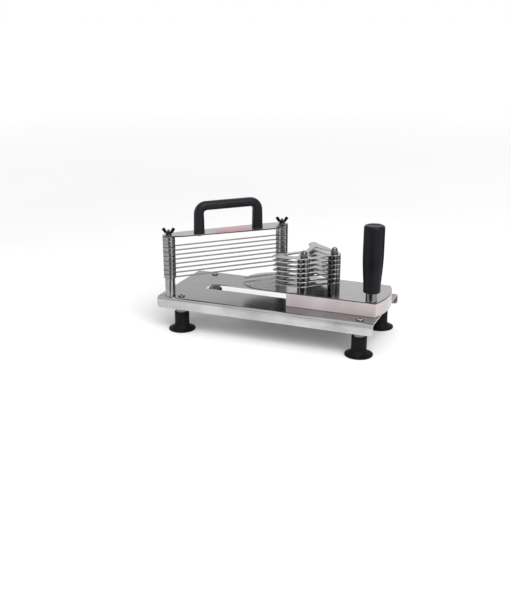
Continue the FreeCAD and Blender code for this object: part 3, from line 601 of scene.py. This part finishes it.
def make_cap_nuts():
    """Domed nuts: a chamfered hexagon under a polished dome."""
    for end in POST_ENDS:
        node = "cap_nut_" + end
        low, high, middle = box_middle(node)
        centre = Vector((middle.x, middle.y, 0))
        corner = (high.x - low.x) / 2
        waist = low.z + 5.4 * MM
        neck = 0.6 * MM
        shape = bmesh.new()
        lower, upper = hexagon(shape, centre, corner, low.z + 0.2 * MM, waist)
        shape.faces.new(lower)
        shape.faces.new(upper)
        rim = 5.5 * MM
        dome = [(rim * math.cos(math.radians(angle)),
                 waist + neck + (high.z - waist - neck) * math.sin(math.radians(angle)))
                for angle in range(0, 91, 9)]
        dome[-1] = (0.0, high.z)
        bmesh.ops.bevel(shape, geom=shape.edges[:], offset=0.45 * MM, segments=2,
                        affect="EDGES", clamp_overlap=True)
        lathe(shape, [(0.0, waist - 0.2 * MM), (rim + 0.5 * MM, waist - 0.2 * MM),
                      (rim + 0.25 * MM, waist + 0.3 * MM)] + dome, centre, 48)
        finish_piece(node + "_domed", shape, [node])


def make_wing_nuts():
    """Wing nuts: a tapered hub and two broad ears with blunt tips."""
    bore = 3.05 * MM
    hub_top = 4.0 * MM
    for end in POST_ENDS:
        node = "wing_nut_" + end
        low, high, _ = box_middle(node)
        _, _, axis = box_middle("tie_rod_" + end)
        centre = Vector((axis.x, axis.y, low.z))
        shape = bmesh.new()
        hub = [(bore, 0.0), (5.2 * MM, 0.0), (5.4 * MM, 0.4 * MM), (5.1 * MM, 2.6 * MM),
               (4.6 * MM, 3.7 * MM), (4.2 * MM, hub_top), (bore, hub_top), (bore, 0.0)]
        lathe(shape, hub, centre, 48)
        reach = (high - axis).to_2d().length
        for side in (1, -1):
            make_ear(shape, centre, side, reach, high.z - low.z)
        bmesh.ops.remove_doubles(shape, verts=shape.verts, dist=SAME_POINT)
        finish_piece(node + "_cast", shape, [node], smooth_angle=50)


def superellipse(value, power):
    """One coordinate of a rounded rectangle: a sine or cosine pushed outwards."""
    return math.copysign(abs(value) ** power, value)


def make_ear(shape, centre, side, reach, top):
    """One ear: thick flat sections along a leaning line, closed by a blunt tip."""
    stations = 20
    corners = 16
    squareness = 0.7
    tip_start = 0.9
    tip_length = 0.103
    outward = Vector((math.cos(WING_TURN), math.sin(WING_TURN), 0)) * side
    across = Vector((-math.sin(WING_TURN), math.cos(WING_TURN), 0))
    root = Vector((5.0, 0, 2.8))
    tip = Vector((0.725 * reach / MM, 0, top / MM - 2.2))
    lean = (tip - root).normalized()
    normal = Vector((lean.z, 0, -lean.x))
    rings = []
    for station in range(stations + 1):
        share = station / stations
        middle = root.lerp(tip, share)
        past = max(share - tip_start, 0) / tip_length
        cap = max(1 - past ** 2, 0) ** 0.4
        width = (2.8 + 0.6 * share) * cap
        thickness = (1.9 - 0.3 * share) * cap
        ring = []
        for step in range(corners):
            angle = math.tau * step / corners
            wide = superellipse(math.cos(angle), squareness)
            thick = superellipse(math.sin(angle), squareness)
            point = middle + normal * width * wide
            place = (centre + outward * point.x * MM + Vector((0, 0, point.z * MM))
                     + across * thickness * thick * MM)
            ring.append(shape.verts.new(place))
        rings.append(ring)
    for lower, upper in zip(rings, rings[1:]):
        join_loops(shape, lower, upper)
    shape.faces.new(rings[0])
    shape.faces.new(rings[-1])


def make_threads():
    """Tie rods with thread ridges of 1 mm pitch at both ends."""
    shank = 2.9 * MM
    crest = 3.0 * MM
    root = 2.5 * MM
    foot_thread = 9 * MM
    top_thread = 17 * MM
    for end in POST_ENDS:
        node = "tie_rod_" + end
        low, high, middle = box_middle(node)
        section = [(0.0, low.z), (2.4 * MM, low.z)]
        for start, stop in ((low.z, low.z + foot_thread), (high.z - top_thread, high.z)):
            turns = int((stop - start) / MM)
            for turn in range(turns):
                section += [(root, start + (turn + 0.1) * MM),
                            (crest, start + (turn + 0.5) * MM),
                            (root, start + (turn + 0.9) * MM)]
            section.append((shank if stop < high.z else 2.3 * MM, stop))
        section.append((0.0, high.z))
        shape = bmesh.new()
        lathe(shape, section, Vector((middle.x, middle.y, 0)), 32)
        finish_piece(node + "_threaded", shape, [node])


# ---------------------------------------------------------------- bow handle
def make_bow_handle():
    """The bow handle: thick legs that flare at their feet, and a slimmer bar."""
    low, high, middle = box_middle("bow_handle")
    along = Vector((1, 1, 0)).normalized()
    across = Vector((-1, 1, 0)).normalized()
    reach = 60.5 * MM
    leg = 10.0 * MM
    bar = 8.7 * MM
    half_depth = 9.8 * MM
    flare_height = 9 * MM
    corners = 32
    squareness = 0.82
    crown = high.z - low.z - bar
    bend = 15.0 * MM
    path = [(-reach, 0.0), (-reach, 2 * MM), (-reach, 5 * MM), (-reach, 12 * MM),
            (-reach, 22 * MM)]
    path += [(-reach + bend - bend * math.cos(math.radians(angle)),
              crown - bend + bend * math.sin(math.radians(angle))) for angle in range(0, 91, 9)]
    path += [(-reach / 3, crown), (0.0, crown)]
    path += [(-x, z) for x, z in reversed(path[:-1])]
    shape = bmesh.new()
    rings = []
    for index, (x, z) in enumerate(path):
        before = path[max(index - 1, 0)]
        after = path[min(index + 1, len(path) - 1)]
        tangent = Vector((after[0] - before[0], 0, after[1] - before[1])).normalized()
        normal = Vector((tangent.z, 0, -tangent.x))
        rise = min(z / crown, 1.0)
        half = leg * (1 - rise ** 2) + bar * rise ** 2
        flare = 0.55 * MM * max(0.0, 1 - z / flare_height) ** 2
        ring = []
        for step in range(corners):
            angle = math.tau * step / corners
            side = superellipse(math.cos(angle), squareness)
            depth = superellipse(math.sin(angle), squareness)
            local_x = x + normal.x * (half + flare) * side
            local_z = z + normal.z * (half + flare) * side
            ring.append(shape.verts.new(
                Vector((middle.x, middle.y, low.z)) + along * local_x
                + Vector((0, 0, local_z)) + across * (half_depth + flare) * depth))
        rings.append(ring)
    for lower, upper in zip(rings, rings[1:]):
        join_loops(shape, lower, upper)
    for end in (rings[0], rings[-1]):
        inner = [shape.verts.new(point.co) for point in end]
        shape.faces.new(inner)
    bmesh.ops.remove_doubles(shape, verts=shape.verts, dist=SAME_POINT)
    finish_piece("bow_handle_moulded", shape, ["bow_handle"])


# ---------------------------------------------------------------- sheet parts
def make_sheets():
    """Folded, cut and milled parts with softened edges."""
    machined("base_plate", edge=0.35 * MM)
    machined("top_plate", edge=0.4 * MM, finish=TOP_SHEET)
    machined("carriage_plate", edge=0.45 * MM)
    machined("slide_block", edge=0.8 * MM)
    machined("guide_key", edge=0.5 * MM)
    machined("retaining_strip", edge=0.4 * MM)
    for index in range(1, 8):
        machined("pusher_plate_%d" % index, edge=0.5 * MM)
    for index in range(1, 9):
        machined("blade_%d" % index, edge=0.12 * MM, segments=1)
    for node in ("rod_nuts", "rod_washers", "wing_nut_washers"):
        machined(node, edge=0.3 * MM, segments=2)
    machined("retaining_screws", edge=0.4 * MM, segments=2)
    machined("bow_handle_screws", edge=0.4 * MM, segments=2)
    machined("foot_collars", edge=0.5 * MM, segments=2)
    machined("label_strip", edge=0.06 * MM, segments=1)


def make_carried():
    """CAD nodes that keep their own shape get the finish of their slot."""
    for node, piece in frame["nodes"].items():
        if piece.hide_render:
            continue
        piece.data.materials.clear()
        piece.data.materials.append(FINISHES[NODE_SLOTS[node]])


# ---------------------------------------------------------------- studio
def make_floor():
    """A wide pale floor; a faint glow keeps it bright far from the light."""
    glow_start = 1.0
    glow_full = 5.0
    glow_strength = 0.26
    bpy.ops.mesh.primitive_circle_add(vertices=96, radius=40, fill_type="NGON")
    floor = bpy.context.object
    floor.name = "studio_floor"
    finish = bpy.data.materials.new("studio_floor")
    finish.use_nodes = True
    surface = finish.node_tree.nodes["Principled BSDF"]
    surface.inputs["Base Color"].default_value = (0.91, 0.91, 0.91, 1)
    surface.inputs["Roughness"].default_value = 0.9
    surface.inputs["Specular IOR Level"].default_value = 0.1
    surface.inputs["Emission Color"].default_value = (1, 1, 1, 1)
    place = finish.node_tree.nodes.new("ShaderNodeTexCoord")
    distance = finish.node_tree.nodes.new("ShaderNodeVectorMath")
    distance.operation = "LENGTH"
    glow = finish.node_tree.nodes.new("ShaderNodeMapRange")
    glow.inputs["From Min"].default_value = glow_start
    glow.inputs["From Max"].default_value = glow_full
    glow.inputs["To Max"].default_value = glow_strength
    finish.node_tree.links.new(place.outputs["Object"], distance.inputs[0])
    finish.node_tree.links.new(distance.outputs["Value"], glow.inputs["Value"])
    finish.node_tree.links.new(glow.outputs["Result"], surface.inputs["Emission Strength"])
    floor.data.materials.append(finish)


def make_flag(name, low, high):
    """A dark board just above the floor, which only reflections show."""
    shape = bmesh.new()
    corners = ((low[0], low[1]), (high[0], low[1]), (high[0], high[1]), (low[0], high[1]))
    shape.faces.new([shape.verts.new((x, y, 0.5 * MM)) for x, y in corners])
    mesh = bpy.data.meshes.new(name)
    shape.to_mesh(mesh)
    shape.free()
    board = bpy.data.objects.new(name, mesh)
    bpy.context.scene.collection.objects.link(board)
    finish = bpy.data.materials.new(name)
    finish.use_nodes = True
    surface = finish.node_tree.nodes["Principled BSDF"]
    surface.inputs["Base Color"].default_value = (0.02, 0.02, 0.02, 1)
    surface.inputs["Roughness"].default_value = 0.9
    mesh.materials.append(finish)
    board.visible_camera = False
    board.visible_diffuse = False
    board.visible_shadow = False
    board.visible_transmission = False


def make_light(name, place, target, size, power):
    """A rectangular area light aimed at a point."""
    light = bpy.data.lights.new(name, "AREA")
    light.shape = "RECTANGLE"
    light.size, light.size_y = size
    light.energy = power
    lamp = bpy.data.objects.new(name, light)
    lamp.location = place
    lamp.rotation_mode = "QUATERNION"
    lamp.rotation_quaternion = (Vector(target) - Vector(place)).to_track_quat("-Z", "Y")
    bpy.context.scene.collection.objects.link(lamp)


def make_world():
    """A wide soft glow overhead and a white horizon, with a dimmer band between them."""
    world = bpy.data.worlds.new("studio")
    bpy.context.scene.world = world
    world.use_nodes = True
    tree = world.node_tree
    direction = tree.nodes.new("ShaderNodeTexCoord")
    split = tree.nodes.new("ShaderNodeSeparateXYZ")
    bands = tree.nodes.new("ShaderNodeValToRGB")
    tree.links.new(direction.outputs["Generated"], split.inputs["Vector"])
    tree.links.new(split.outputs["Z"], bands.inputs["Fac"])
    stops = ((0.0, 1.0), (0.14, 1.0), (0.25, 0.88), (0.4, 0.66), (0.55, 0.5), (0.7, 0.7),
             (0.85, 1.05), (1.0, 1.3))
    ramp = bands.color_ramp
    for index, (position, value) in enumerate(stops):
        stop = ramp.elements[index] if index < 2 else ramp.elements.new(position)
        stop.position = position
        stop.color = (value, value, value, 1)
    tree.links.new(bands.outputs["Color"], tree.nodes["Background"].inputs["Color"])
    tree.nodes["Background"].inputs["Strength"].default_value = 1.0


def make_studio():
    """Floor, sky, dark boards for the reflections and one light."""
    make_floor()
    make_world()
    make_flag("front_flag", (-0.04, -0.95), (0.4, -0.3))
    make_flag("post_flag", (-0.17, -0.4), (-0.04, -0.28))
    make_flag("back_flag", (-1.2, 0.3), (1.2, 1.4))
    make_light("front_softbox", (1.3, -1.3, 1.9), (0, 0, 0.05), (1.8, 1.8), 48)
    bpy.context.scene.view_settings.view_transform = "Standard"


def make_camera():
    """The viewpoint: low, from the front and a little to the right."""
    azimuth = math.radians(22.181)
    tilt = math.radians(18.816)
    distance = 1.6464
    aim = Vector((-0.003, 0, 0.09))
    shift_left = 0.04529
    shift_down = 0.03167
    right = Vector((math.cos(azimuth), math.sin(azimuth), 0))
    level = Vector((-math.sin(azimuth), math.cos(azimuth), 0))
    forward = math.cos(tilt) * level - math.sin(tilt) * Vector((0, 0, 1))
    upward = math.sin(tilt) * level + math.cos(tilt) * Vector((0, 0, 1))
    lens = bpy.data.cameras.new("camera")
    lens.lens = 50.75
    lens.sensor_width = 36
    lens.clip_start = 0.05
    camera = bpy.data.objects.new("camera", lens)
    camera.location = aim - distance * forward - shift_left * right - shift_down * upward
    camera.rotation_mode = "QUATERNION"
    camera.rotation_quaternion = Matrix((right, upward, -forward)).transposed().to_quaternion()
    bpy.context.scene.collection.objects.link(camera)
    bpy.context.scene.camera = camera


make_columns()
make_grip()
make_feet()
make_foot_screws()
make_cap_nuts()
make_wing_nuts()
make_threads()
make_bow_handle()
make_sheets()
make_carried()
make_studio()
make_camera()
